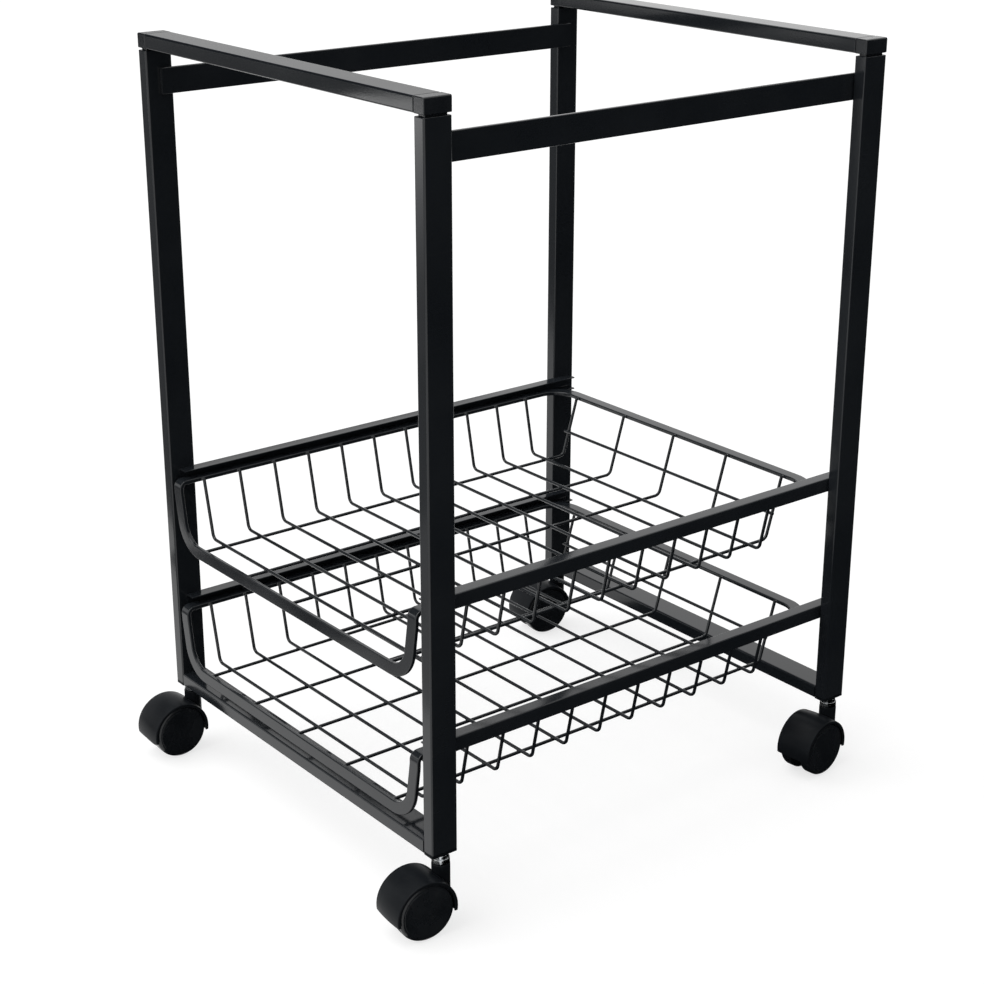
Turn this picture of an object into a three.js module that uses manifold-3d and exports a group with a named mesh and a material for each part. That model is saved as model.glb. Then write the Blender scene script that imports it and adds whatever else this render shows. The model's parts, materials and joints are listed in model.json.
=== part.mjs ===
// A mobile file cart: two end frames of rectangular tube, joined by hanging rails for folders and by
// channel rails in which two wire baskets slide, on four swivelling twin-wheel casters.
// Millimetres, +Z up. The front, where the baskets pull out, faces -Y. The origin is on the floor,
// under the middle of the outline of the whole cart as it stands.

import * as THREE from "three";
import { mergeVertices } from "three/addons/utils/BufferGeometryUtils.js";
import Module from "manifold-3d";

const wasm = await Module();
wasm.setup();

// Driving dimensions: frame
const frameWidth = 327; // over the outer faces of the posts
const frameDepth = 381; // over the front and rear faces of the posts
const frameHeight = 485; // from the feet of the posts to the top of the top bars
const tubeNarrow = 10; // tube's short side: across the cart on posts, upright on bars
const tubeWide = 20; // tube's long side, front to back
const tubeWall = 1;
const tubeEdgeRadius = 1.2;
const touchGap = 0.3; // left between pieces that touch
const cornerGroove = 1.5; // height of the shadow groove between a corner piece and its post
const cornerGrooveDepth = 1.9;
const cornerEdgeRadius = 1.2; // rounding of a corner piece's outer top edge
const cornerPlugLength = 22; // how far a corner piece reaches into its top bar
const cornerPlugDepth = 16; // how far it reaches down into its post

// Driving dimensions: rails
const hangingRailHeight = 18;
const hangingRailThickness = 3;
const hangingRailDrop = 23; // from the top of the frame to the top edge of a hanging rail
const hangingRailInset = 10; // from the outer face of a post to the rail's end
const channelHeight = 10.3;
const channelWidth = 10;
const channelWall = 1;
const channelInset = 6.5; // from the outer face of a post to the channel's end

// Driving dimensions: baskets
const basketDepth = 364; // from the face of the pull to the rear edge of the rim
const basketPitch = 99.5; // from the lower basket up to the upper one
const basketProud = 0.5; // how far the pull stands in front of the posts
const pullClearance = 5.5; // from the bottom bar up to the pull of the lower basket
const rimWidth = 9;
const rimThickness = 3;
const rimSideClearance = 3.2; // from the rim's edge to the web of its channel
const rimPlay = 0.3; // between the rim and the lower flange that it slides on
const rimBendRadius = 3; // inside of the bend from the rim down into the pull
const rimRearRadius = 15; // outside of the rim's rear corners
const pullCornerRadius = 19; // outside of the pull's lower corners
const pullBelowWires = 6.2; // from the long wires down to the lower edge of the pull
const wireDiameter = 2.4;
const wireBendRadius = 5;
const weldOverlap = 0.5; // how deep two welded wires sink into each other
const floorDrop = 42.1; // from the underside of the rim to the middle of the floor's cross wires
const wireTopDrop = 0.8; // from the rim's upper face down to the wires' ends, beside its inner edge
const sideLean = 9; // how far a side wall leans in from rim to floor
const rearLean = 13; // how far the rear wall leans in from rim to floor
const crossWirePitch = 30;
const crossWireStart = 16.5; // from the back of the pull to the first cross wire
const crossWireRearMargin = 18; // least room between the last cross wire and the rear wall
const longWireCount = 5;
const longWireInset = 14; // from the foot of a side wall to the outermost long wire
const rearWireRise = 19; // from the long wires up to the wire across the rear wall
const rearWireOverhang = 12; // past the outermost long wires

// Driving dimensions: casters
const wheelDiameter = 41;
const wheelWidth = 9.2; // between its inner side and the rim of its face
const wheelSideGap = 0.6; // between a wheel and the web of its hood
const wheelShoulderRadius = 3; // rounding from the tread to the face
const wheelEdgeChamfer = 1.2; // of the tread's inner edge
const wheelDome = 0.4; // how far the middle of a wheel's face stands out
const wheelTrail = 17.9; // from the swivel axis back to the axle
const axleRadius = 2.5;
const axleClearance = 0.35; // round the axle, in the wheels
const axleCover = 2.4; // thickness of a wheel's face over the axle's end
const hoodWidth = 29;
const hoodWeb = 8; // thickness of the web between the wheels
const hoodClearance = 0.7; // round the wheels
const hoodWall = 1.3; // at the hood's sides
const hoodCrown = 0.8; // how much the hood swells from its sides to its middle
const hoodLip = 16.4; // from the floor to the hood's lower edge
const hoodHeadroom = 9.6; // from the top of the hood to the foot of the frame
const neckRadius = 6.2;
const collarRadius = 6;
const collarHeight = 3.7;
const shoulderRadius = 5.2; // of the stem between its collar and the frame
const shoulderHeight = 2.4;
const swivelGap = 0.5; // between the shoulder and the socket's flange
const stemInHood = 16;
const stemInSocket = 24;
const stemClearance = 0.35; // round the stem, where it turns in its socket
const socketWall = 0.7; // between the stem's bore and the sides of the socket
const socketFlange = 1.5;
const socketLength = 32;
const turnFrontLeft = -1; // how each caster stands, in degrees about its stem
const turnFrontRight = -6;
const turnRearLeft = -6;
const turnRearRight = 6;

// Facet counts
const roundSides = 20;
const smallRoundSides = 12;
const wireSides = 6;
const wireBendSteps = 3;
const barBendSteps = 6;
const edgeSteps = 2;
const shoulderSteps = 3;

// Heights and places worked out from them
const wheelRadius = wheelDiameter / 2;
const axleHeight = wheelRadius * Math.cos(Math.PI / roundSides); // a wheel stands on one of its flats
const wellRadius = wheelRadius + hoodClearance;
const hoodRadius = wellRadius + hoodWall + hoodCrown;
const frameFoot = axleHeight + hoodRadius + hoodHeadroom;
const frameTop = frameFoot + frameHeight;
const postX = (frameWidth - tubeNarrow) / 2;
const postY = (frameDepth - tubeWide) / 2;
const postInnerX = frameWidth / 2 - tubeNarrow;
const postFoot = frameFoot + socketFlange + touchGap;
const postTop = frameTop - tubeNarrow - cornerGroove;
const railOuterX = postInnerX - touchGap;
const plugNarrow = tubeNarrow - 2 * (tubeWall + touchGap); // what fits into a tube
const plugWide = tubeWide - 2 * (tubeWall + touchGap);
const stemRadius = plugNarrow / 2 - socketWall - stemClearance;

const rimUnderOverChannel = channelWall + rimPlay;
const longWireDrop = floorDrop + wireDiameter - weldOverlap;
const pullDrop = longWireDrop + pullBelowWires;
const lowerRimUnder = frameFoot + tubeNarrow + pullClearance + pullDrop;
const upperRimUnder = lowerRimUnder + basketPitch;
const rimOuterX = railOuterX - channelWall - rimSideClearance;
const pullFaceY = -frameDepth / 2 - basketProud;
const rimRearY = pullFaceY + basketDepth;

// Finishes
const blackPaint = new THREE.MeshStandardMaterial({ color: 0x17181a, roughness: 0.38, metalness: 0.0 });
const cornerPlastic = new THREE.MeshStandardMaterial({ color: 0x2a2b2e, roughness: 0.6, metalness: 0.0 });
const casterPlastic = new THREE.MeshStandardMaterial({ color: 0x141517, roughness: 0.45, metalness: 0.0 });
const wheelPlastic = new THREE.MeshStandardMaterial({ color: 0x111214, roughness: 0.5, metalness: 0.0 });
const zincSteel = new THREE.MeshStandardMaterial({ color: 0xc3c8cb, roughness: 0.28, metalness: 1.0 });

// Joins and cuts

function solid(geometry) {
  const bare = new THREE.BufferGeometry();
  const flat = geometry.index ? geometry.toNonIndexed() : geometry;
  bare.setAttribute("position", flat.getAttribute("position").clone());
  const merged = mergeVertices(bare, 1e-4);
  return new wasm.Manifold(
    new wasm.Mesh({
      numProp: 3,
      vertProperties: merged.getAttribute("position").array,
      triVerts: new Uint32Array(merged.index.array),
    }),
  );
}

function geometryOf(made) {
  const mesh = made.getMesh();
  const geometry = new THREE.BufferGeometry();
  geometry.setAttribute("position", new THREE.BufferAttribute(mesh.vertProperties, 3));
  geometry.setIndex(new THREE.BufferAttribute(mesh.triVerts, 1));
  const faceted = geometry.toNonIndexed();
  faceted.computeVertexNormals();
  return faceted;
}

function joined(geometries) {
  const whole = geometries.map(solid).reduce((sum, next) => sum.add(next));
  return geometryOf(whole);
}

function cut(geometry, tools) {
  const left = tools.map(solid).reduce((rest, tool) => rest.subtract(tool), solid(geometry));
  return geometryOf(left);
}

// Outlines and the solids drawn from them

function roundedRectangle(width, height, radius) {
  const x = width / 2;
  const y = height / 2;
  const shape = new THREE.Shape();
  shape.moveTo(-x + radius, -y);
  shape.lineTo(x - radius, -y);
  shape.absarc(x - radius, -y + radius, radius, -Math.PI / 2, 0);
  shape.lineTo(x, y - radius);
  shape.absarc(x - radius, y - radius, radius, 0, Math.PI / 2);
  shape.lineTo(-x + radius, y);
  shape.absarc(-x + radius, y - radius, radius, Math.PI / 2, Math.PI);
  shape.lineTo(-x, -y + radius);
  shape.absarc(-x + radius, -y + radius, radius, Math.PI, 1.5 * Math.PI);
  return shape;
}

function rectangle(width, height) {
  const shape = new THREE.Shape();
  shape.moveTo(-width / 2, -height / 2);
  shape.lineTo(width / 2, -height / 2);
  shape.lineTo(width / 2, height / 2);
  shape.lineTo(-width / 2, height / 2);
  return shape;
}

function polygon(radius, sides) {
  const corner = (k) => (2 * Math.PI * k) / sides;
  const points = Array.from({ length: sides }, (_, k) => [
    radius * Math.cos(corner(k)),
    radius * Math.sin(corner(k)),
  ]);
  return new THREE.Shape(points.map(([x, y]) => new THREE.Vector2(x, y)));
}

function tubeSection(width, height) {
  const section = roundedRectangle(width, height, tubeEdgeRadius);
  section.holes.push(rectangle(width - 2 * tubeWall, height - 2 * tubeWall));
  return section;
}

// A prism of the given length about the origin, drawn in XY and standing along Z
function prism(section, length) {
  const geometry = new THREE.ExtrudeGeometry(section, {
    depth: length,
    bevelEnabled: false,
    curveSegments: edgeSteps,
  });
  return geometry.translate(0, 0, -length / 2);
}

// The same, lying along Y, with the outline's first axis along X and its second along Z
function prismAlongY(section, length) {
  return prism(section, length).rotateX(Math.PI / 2);
}

// The same, lying along X, with the outline's first axis along Y and its second along Z
function prismAlongX(section, length) {
  return prism(section, length).rotateX(Math.PI / 2).rotateZ(Math.PI / 2);
}

function roundBarAlongX(radius, length, sides) {
  return new THREE.CylinderGeometry(radius, radius, length, sides).rotateZ(-Math.PI / 2);
}

// A solid of revolution about the X axis, from points of radius and place along X
function turnedAlongX(points, sides) {
  const profile = points.map(([radius, along]) => new THREE.Vector2(radius, along));
  const halfStep = Math.PI / sides;
  return new THREE.LatheGeometry(profile, sides, halfStep).rotateZ(-Math.PI / 2);
}

// A solid of revolution about the Z axis, from points of radius and height
function turnedAlongZ(points, sides) {
  const profile = points.map(([radius, height]) => new THREE.Vector2(radius, height));
  return new THREE.LatheGeometry(profile, sides).rotateX(Math.PI / 2);
}

// A centre line of straight runs joined by round bends. It is sampled at the ends of the runs and at a
// few places round each bend, and nowhere else, so that a swept bar has only the rings it needs.
class BentLine extends THREE.Curve {
  constructor(corners, radii, bendSteps) {
    super();
    const points = corners.map((corner) => new THREE.Vector3(...corner));
    const run = (k) => points[k + 1].clone().sub(points[k]).normalize();
    this.places = [points[0]];
    this.directions = [run(0)];
    for (let k = 1; k < points.length - 1; k += 1) {
      this.addBend(points[k], run(k - 1), run(k), radii[k - 1], bendSteps);
    }
    this.places.push(points[points.length - 1]);
    this.directions.push(run(points.length - 2));
  }

  addBend(corner, before, after, radius, bendSteps) {
    const turn = before.angleTo(after);
    const side = after.clone().addScaledVector(before, -Math.cos(turn)).divideScalar(Math.sin(turn));
    const start = corner.clone().addScaledVector(before, -radius * Math.tan(turn / 2));
    const centre = start.clone().addScaledVector(side, radius);
    for (let step = 0; step <= bendSteps; step += 1) {
      const angle = (turn * step) / bendSteps;
      const place = centre
        .clone()
        .addScaledVector(side, -radius * Math.cos(angle))
        .addScaledVector(before, radius * Math.sin(angle));
      const direction = before.clone().multiplyScalar(Math.cos(angle));
      this.places.push(place);
      this.directions.push(direction.addScaledVector(side, Math.sin(angle)));
    }
  }

  get steps() {
    return this.places.length - 1;
  }

  getPointAt(share, target = new THREE.Vector3()) {
    return target.copy(this.places[Math.round(share * this.steps)]);
  }

  getTangentAt(share, target = new THREE.Vector3()) {
    return target.copy(this.directions[Math.round(share * this.steps)]);
  }
}

function swept(section, corners, radii, bendSteps) {
  const line = new BentLine(corners, radii, bendSteps);
  return new THREE.ExtrudeGeometry(section, { steps: line.steps, extrudePath: line });
}

// The cart, and how its pieces are put into it

const cart = new THREE.Group();

function add(parent, name, geometry, material) {
  const mesh = new THREE.Mesh(geometry, material);
  mesh.name = name;
  parent.add(mesh);
  return mesh;
}

const corners = [
  { name: "front_left", sideX: -1, sideY: -1, turn: turnFrontLeft },
  { name: "front_right", sideX: 1, sideY: -1, turn: turnFrontRight },
  { name: "rear_left", sideX: -1, sideY: 1, turn: turnRearLeft },
  { name: "rear_right", sideX: 1, sideY: 1, turn: turnRearRight },
];

const sides = [
  { name: "left", sideX: -1 },
  { name: "right", sideX: 1 },
];

const baskets = [
  { name: "lower", rimUnder: lowerRimUnder },
  { name: "upper", rimUnder: upperRimUnder },
];

const ends = [
  { name: "front", sideY: -1 },
  { name: "rear", sideY: 1 },
];

// Posts: upright tubes

function post(corner) {
  const length = postTop - postFoot;
  const tube = prism(tubeSection(tubeNarrow, tubeWide), length);
  return tube.translate(corner.sideX * postX, corner.sideY * postY, postFoot + length / 2);
}

corners.forEach((corner) => add(cart, `post_${corner.name}`, post(corner), blackPaint));

// Top and bottom bars: tubes lying across the cart between the corner pieces and between the posts

function bar(sideY, middle) {
  const length = 2 * (postInnerX - touchGap);
  const tube = prismAlongX(tubeSection(tubeWide, tubeNarrow), length);
  return tube.translate(0, sideY * postY, middle);
}

ends.forEach((end) => {
  add(cart, `top_bar_${end.name}`, bar(end.sideY, frameTop - tubeNarrow / 2), blackPaint);
  add(cart, `bottom_bar_${end.name}`, bar(end.sideY, frameFoot + tubeNarrow / 2), blackPaint);
});

// Corner pieces: a block flush with the tubes, a waist that makes the groove, and a plug in each tube

function cornerBlockOutline() {
  const outer = tubeNarrow / 2;
  const shape = new THREE.Shape();
  shape.moveTo(-outer, -outer);
  shape.lineTo(outer, -outer);
  shape.lineTo(outer, outer - cornerEdgeRadius);
  shape.absarc(outer - cornerEdgeRadius, outer - cornerEdgeRadius, cornerEdgeRadius, 0, Math.PI / 2);
  shape.lineTo(-outer, outer);
  return shape;
}

function cornerPiece(corner) {
  const waistNarrow = tubeNarrow - 2 * cornerGrooveDepth;
  const waistWide = tubeWide - 2 * cornerGrooveDepth;
  const middle = frameTop - tubeNarrow / 2;
  const waistTop = frameTop - tubeNarrow;
  const plugFoot = postTop - cornerPlugDepth;

  const block = prismAlongY(cornerBlockOutline(), tubeWide);
  if (corner.sideX < 0) block.rotateZ(Math.PI);
  const overlap = tubeNarrow / 2; // how far each limb runs into the block that it grows from
  const waistLength = cornerGroove + 2 * overlap;
  const waist = prism(rectangle(waistNarrow, waistWide), waistLength);
  waist.translate(0, 0, waistTop + overlap - waistLength / 2 - middle);
  const postPlug = prism(rectangle(plugNarrow, plugWide), cornerPlugDepth);
  postPlug.translate(0, 0, plugFoot + cornerPlugDepth / 2 - middle);
  const reach = cornerPlugLength + tubeNarrow / 2;
  const barPlug = prismAlongX(rectangle(plugWide, plugNarrow), reach);
  barPlug.translate((-corner.sideX * reach) / 2, 0, 0);

  const piece = joined([block, waist, postPlug, barPlug]);
  return piece.translate(corner.sideX * postX, corner.sideY * postY, middle);
}

corners.forEach((corner) => add(cart, `corner_${corner.name}`, cornerPiece(corner), cornerPlastic));

// Rails: flat bars on edge for the folders, and channels that open towards the inside for the baskets

function channelOutline() {
  const x = channelWidth;
  const z = channelHeight / 2;
  const shape = new THREE.Shape();
  shape.moveTo(0, -z);
  shape.lineTo(x - tubeEdgeRadius, -z);
  shape.absarc(x - tubeEdgeRadius, -z + tubeEdgeRadius, tubeEdgeRadius, -Math.PI / 2, 0);
  shape.lineTo(x, z - tubeEdgeRadius);
  shape.absarc(x - tubeEdgeRadius, z - tubeEdgeRadius, tubeEdgeRadius, 0, Math.PI / 2);
  shape.lineTo(0, z);
  shape.lineTo(0, z - channelWall);
  shape.lineTo(x - channelWall, z - channelWall);
  shape.lineTo(x - channelWall, -z + channelWall);
  shape.lineTo(0, -z + channelWall);
  return shape;
}

function hangingRail(side) {
  const edge = hangingRailThickness / 4;
  const section = roundedRectangle(hangingRailThickness, hangingRailHeight, edge);
  const middle = frameTop - hangingRailDrop - hangingRailHeight / 2;
  const bar = prismAlongY(section, frameDepth - 2 * hangingRailInset);
  return bar.translate(side.sideX * (railOuterX - hangingRailThickness / 2), 0, middle);
}

function channelRail(side, rimUnder) {
  const channel = prismAlongY(channelOutline(), frameDepth - 2 * channelInset);
  if (side.sideX < 0) channel.rotateZ(Math.PI);
  const middle = rimUnder - rimUnderOverChannel + channelHeight / 2;
  return channel.translate(side.sideX * (railOuterX - channelWidth), 0, middle);
}

sides.forEach((side) => {
  add(cart, `hanging_rail_${side.name}`, hangingRail(side), blackPaint);
  baskets.forEach((basket) => {
    add(cart, `${basket.name}_rail_${side.name}`, channelRail(side, basket.rimUnder), blackPaint);
  });
});

// Basket rims: one flat bar bent into a loop, level along the sides and the rear, and at the front bent
// down into the pull. Each half is swept from the middle of the rear to the middle of the pull.

function basketRim(rimUnder) {
  const overlap = weldOverlap; // the halves run into each other where the bar's ends are welded
  const level = rimUnder + rimThickness / 2;
  const sideX = rimOuterX - rimWidth / 2;
  const rearY = rimRearY - rimWidth / 2;
  const frontY = pullFaceY + rimThickness / 2;
  const pullLevel = rimUnder - pullDrop + rimWidth / 2;
  const section = rectangle(rimThickness, rimWidth);
  const radii = [
    rimRearRadius - rimWidth / 2,
    rimBendRadius + rimThickness / 2,
    pullCornerRadius - rimWidth / 2,
  ];
  const halves = [1, -1].map((hand) =>
    swept(
      section,
      [
        [-hand * overlap, rearY, level],
        [hand * sideX, rearY, level],
        [hand * sideX, frontY, level],
        [hand * sideX, frontY, pullLevel],
        [-hand * overlap, frontY, pullLevel],
      ],
      radii,
      barBendSteps,
    ),
  );
  return joined(halves);
}

// Basket wires: cross wires bent up into the side walls lie on long wires bent up into the rear wall,
// and one wire runs across the rear wall. They are welded into one mat.

function basketWires(rimUnder) {
  const section = polygon(wireDiameter / 2, wireSides);
  const weldPitch = wireDiameter - weldOverlap;
  const wallTop = rimUnder + rimThickness - wireTopDrop;
  const floor = rimUnder - floorDrop;
  const longLevel = floor - weldPitch;

  const besideRim = rimWidth + touchGap + wireDiameter / 2; // from the rim's outer edge to a wire
  const topX = rimOuterX - besideRim;
  const footX = topX - sideLean;
  const pullBackY = pullFaceY + rimThickness;
  const rearTopY = rimRearY - besideRim;
  const rearFootY = rearTopY - rearLean;

  const firstY = pullBackY + crossWireStart;
  const crossRun = rearFootY - crossWireRearMargin - firstY;
  const crossCount = Math.floor(crossRun / crossWirePitch) + 1;
  const crossWires = Array.from({ length: crossCount }, (_, k) => {
    const y = firstY + k * crossWirePitch;
    return swept(
      section,
      [
        [-topX, y, wallTop],
        [-footX, y, floor],
        [footX, y, floor],
        [topX, y, wallTop],
      ],
      [wireBendRadius, wireBendRadius],
      wireBendSteps,
    );
  });

  const spread = footX - longWireInset;
  const longPitch = (2 * spread) / (longWireCount - 1);
  const longWires = Array.from({ length: longWireCount }, (_, k) => {
    const x = -spread + k * longPitch;
    return swept(
      section,
      [
        [x, pullBackY + touchGap, longLevel],
        [x, rearFootY, longLevel],
        [x, rearTopY, wallTop],
      ],
      [wireBendRadius],
      wireBendSteps,
    );
  });

  const wallAngle = Math.atan2(wallTop - longLevel, rearLean);
  const share = rearWireRise / (wallTop - longLevel);
  const rearWire = prismAlongX(section, 2 * (spread + rearWireOverhang));
  rearWire.translate(
    0,
    rearFootY + share * rearLean - weldPitch * Math.sin(wallAngle),
    longLevel + rearWireRise + weldPitch * Math.cos(wallAngle),
  );

  return joined([...longWires, ...crossWires, rearWire]);
}

baskets.forEach((basket) => {
  add(cart, `${basket.name}_basket_rim`, basketRim(basket.rimUnder), blackPaint);
  add(cart, `${basket.name}_basket_wires`, basketWires(basket.rimUnder), blackPaint);
});

// Casters. Each is drawn about its swivel axis, trailing towards -Y, and then turned as it stands.

const shoulderTop = frameFoot - swivelGap;
const collarTop = shoulderTop - shoulderHeight;
const collarFoot = collarTop - collarHeight;
const neckTop = collarFoot - touchGap;
const stemFoot = collarFoot - stemInHood;

function caster(corner) {
  const group = new THREE.Group();
  group.position.set(corner.sideX * postX, corner.sideY * postY, 0);
  group.rotation.z = THREE.MathUtils.degToRad(corner.turn);
  return group;
}

// Hood: a crowned barrel over both wheels, hollowed for them on each side of a web, with a neck

function hood() {
  const half = hoodWidth / 2;
  const crownSteps = 6;
  const crown = Array.from({ length: crownSteps + 1 }, (_, k) => {
    const along = -half + (hoodWidth * k) / crownSteps;
    return [hoodRadius - hoodCrown * (along / half) ** 2, along];
  });
  const barrel = turnedAlongX([[0, -half], ...crown, [0, half]], roundSides + 4);
  barrel.translate(0, -wheelTrail, axleHeight);
  const neckLength = neckTop - hoodLip;
  const neck = prism(polygon(neckRadius, roundSides), neckLength);
  neck.translate(0, 0, hoodLip + neckLength / 2);

  const wellLength = hoodRadius;
  const wells = [1, -1].map((hand) =>
    roundBarAlongX(wellRadius, wellLength, roundSides + 4)
      .rotateX(Math.PI / (roundSides + 4))
      .translate((hand * (hoodWeb + wellLength)) / 2, -wheelTrail, axleHeight),
  );
  const below = new THREE.BoxGeometry(4 * hoodRadius, 4 * hoodRadius, 2 * hoodLip);
  below.translate(0, -wheelTrail, 0);
  const stemBoreLength = 2 * stemInHood;
  const stemBore = prism(polygon(stemRadius + touchGap, smallRoundSides), stemBoreLength);
  stemBore.translate(0, 0, stemFoot - touchGap + stemBoreLength / 2);
  const axleBore = roundBarAlongX(axleRadius + touchGap, 2 * hoodWeb, smallRoundSides);
  axleBore.translate(0, -wheelTrail, axleHeight);
  return cut(joined([barrel, neck]), [...wells, below, stemBore, axleBore]);
}

// Stem: a steel pin pressed into the neck, with a bright collar, which turns in the socket above it

function stem() {
  const top = frameFoot + stemInSocket;
  const chamfer = stemRadius / 4;
  return turnedAlongZ(
    [
      [0, stemFoot],
      [stemRadius, stemFoot],
      [stemRadius, collarFoot],
      [collarRadius, collarFoot],
      [collarRadius, collarTop],
      [shoulderRadius, collarTop],
      [shoulderRadius, shoulderTop],
      [stemRadius, shoulderTop],
      [stemRadius, top - chamfer],
      [stemRadius - chamfer, top],
      [0, top],
    ],
    smallRoundSides,
  );
}

// Socket: a plug in the foot of the post, with a flange under the tube's end and a bore for the stem

function socket(corner) {
  const flange = prism(roundedRectangle(tubeNarrow, tubeWide, tubeEdgeRadius), socketFlange);
  flange.translate(0, 0, socketFlange / 2);
  const plug = prism(rectangle(plugNarrow, plugWide), socketLength);
  plug.translate(0, 0, socketLength / 2);
  const boreRadius = (stemRadius + stemClearance) / Math.cos(Math.PI / smallRoundSides);
  const bore = prism(polygon(boreRadius, smallRoundSides), 2 * (stemInSocket + touchGap));
  const piece = cut(joined([flange, plug]), [bore]);
  return piece.translate(corner.sideX * postX, corner.sideY * postY, frameFoot);
}

function axleLength() {
  return hoodWeb + 2 * (wheelSideGap + wheelWidth - axleCover - touchGap);
}

// Wheel: a tread with a round shoulder, a gently domed face, and a blind bore for the axle

function wheel(hand) {
  const inner = hoodWeb / 2 + wheelSideGap;
  const outer = inner + wheelWidth;
  const bore = axleRadius + axleClearance;
  const boreEnd = outer - axleCover;
  const faceRadius = wheelRadius - wheelShoulderRadius;
  const shoulder = Array.from({ length: shoulderSteps }, (_, k) => {
    const turn = (Math.PI / 2) * (k / shoulderSteps);
    const along = outer - wheelShoulderRadius * (1 - Math.sin(turn));
    return [faceRadius + wheelShoulderRadius * Math.cos(turn), along];
  });
  const domeSteps = 3;
  const dome = Array.from({ length: domeSteps + 1 }, (_, k) => {
    const out = 1 - k / domeSteps;
    return [out * faceRadius, outer + wheelDome * (1 - out ** 2)];
  });
  const shape = turnedAlongX(
    [
      [0, boreEnd],
      [bore, boreEnd],
      [bore, inner],
      [wheelRadius - wheelEdgeChamfer, inner],
      [wheelRadius, inner + wheelEdgeChamfer],
      ...shoulder,
      ...dome,
    ],
    roundSides,
  );
  if (hand < 0) shape.rotateZ(Math.PI);
  return shape.translate(0, -wheelTrail, axleHeight);
}

corners.forEach((corner) => {
  const group = caster(corner);
  cart.add(group);
  add(cart, `socket_${corner.name}`, socket(corner), casterPlastic);
  add(group, `hood_${corner.name}`, hood(), casterPlastic);
  add(group, `stem_${corner.name}`, stem(), zincSteel);
  const axle = roundBarAlongX(axleRadius, axleLength(), smallRoundSides);
  add(group, `axle_${corner.name}`, axle.translate(0, -wheelTrail, axleHeight), zincSteel);
  sides.forEach((side) =>
    add(group, `wheel_${side.name}_${corner.name}`, wheel(side.sideX), wheelPlastic),
  );
});

// The origin goes under the middle of the whole outline
const outline = new THREE.Box3().setFromObject(cart, true);
const middle = outline.getCenter(new THREE.Vector3());
cart.position.set(-middle.x, -middle.y, -outline.min.z);

export default cart;
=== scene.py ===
# %% [markdown]
# # A mobile file cart
# The cart is a light office trolley. Two end frames of rectangular steel tube carry rails for hanging
# folders and two wire baskets that slide out, and the whole rolls on four twin-wheel casters. The solids
# come packed, so places and outer sizes are read from them, and only fine sizes are given here. Blender
# adds what solids with few faces can't show: round edges, round wires, turned wheels, and the finishes of
# paint, plastic and zinc.

# %% Load the solids
import json

import bmesh
import bpy
import numpy as np
from mathutils import Matrix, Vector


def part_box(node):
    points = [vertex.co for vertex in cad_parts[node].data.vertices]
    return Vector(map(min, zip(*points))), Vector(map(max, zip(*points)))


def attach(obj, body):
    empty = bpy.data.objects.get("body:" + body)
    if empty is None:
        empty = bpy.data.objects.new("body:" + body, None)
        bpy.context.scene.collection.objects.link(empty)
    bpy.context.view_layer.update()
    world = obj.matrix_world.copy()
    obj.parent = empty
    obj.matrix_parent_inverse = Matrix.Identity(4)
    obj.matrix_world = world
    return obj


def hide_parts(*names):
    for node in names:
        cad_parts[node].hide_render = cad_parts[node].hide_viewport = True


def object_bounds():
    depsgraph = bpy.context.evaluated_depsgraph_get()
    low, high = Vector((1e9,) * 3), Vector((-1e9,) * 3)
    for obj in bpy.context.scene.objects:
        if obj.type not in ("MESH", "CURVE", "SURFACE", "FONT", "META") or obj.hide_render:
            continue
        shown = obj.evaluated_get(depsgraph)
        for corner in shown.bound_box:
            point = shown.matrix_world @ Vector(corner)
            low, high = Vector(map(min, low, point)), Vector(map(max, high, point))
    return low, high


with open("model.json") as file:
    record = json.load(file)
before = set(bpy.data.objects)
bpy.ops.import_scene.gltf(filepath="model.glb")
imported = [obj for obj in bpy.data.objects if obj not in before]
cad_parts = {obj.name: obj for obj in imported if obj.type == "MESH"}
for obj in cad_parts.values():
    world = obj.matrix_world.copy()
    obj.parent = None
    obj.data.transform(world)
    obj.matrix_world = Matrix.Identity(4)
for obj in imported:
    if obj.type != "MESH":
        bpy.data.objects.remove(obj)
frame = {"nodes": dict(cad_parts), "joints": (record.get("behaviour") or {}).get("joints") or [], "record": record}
scene = bpy.context.scene
cad_box = [list(corner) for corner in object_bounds()]
millimetre = 0.001
record = frame["record"]
body_of_node = {node: body for body, nodes in record["behaviour"]["bodies"].items() for node in nodes}
joint_named = {joint["name"]: joint for joint in frame["joints"]}
ends = ["front", "rear"]
sides = ["left", "right"]
hands = [-1, 1]
levels = ["upper", "lower"]
corners = [f"{end}_{side}" for end in ends for side in sides]


def box_of(node):
    """The lowest and the highest corner of a solid at rest, as two arrays in metres."""
    low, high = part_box(node)
    return np.array(low), np.array(high)


print("solids:", len(frame["nodes"]), "box in metres:", np.round(cad_box, 4).tolist())

# %% [markdown]
# ## Skins
# Nearly every piece of the cart is an outline carried along a line: a tube's outline along a post, a round
# wire along its bends, a wheel's outline round its axle. Modelling each by hand would be slow and uneven.
# Worked out as a grid of points, all of them come from a few short formulas, and a size that changes in
# the solids changes here too.

# %% Grids of points


def grid_skin(points, rows_closed=False, capped=True):
    """A grid of points whose neighbours are joined by quads. Its columns close round, its rows may,
    and an end that stays open gets one flat face."""
    rows, columns = points.shape[:2]
    index = np.arange(rows * columns).reshape(rows, columns)
    grid = np.vstack([index, index[:1]]) if rows_closed else index
    grid = np.hstack([grid, grid[:, :1]])
    quads = np.stack([grid[:-1, :-1], grid[1:, :-1], grid[1:, 1:], grid[:-1, 1:]], axis=-1)
    faces = quads.reshape(-1, 4).tolist()
    if capped and not rows_closed:
        faces += [index[0].tolist(), index[-1, ::-1].tolist()]
    return points.reshape(-1, 3), faces


print("faces of a box, from two rings of four points:", len(grid_skin(np.zeros((2, 4, 3)))[1]))

# %% Pieces
merge_distance = 0.001 * millimetre
sharp_turn = 38


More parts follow.
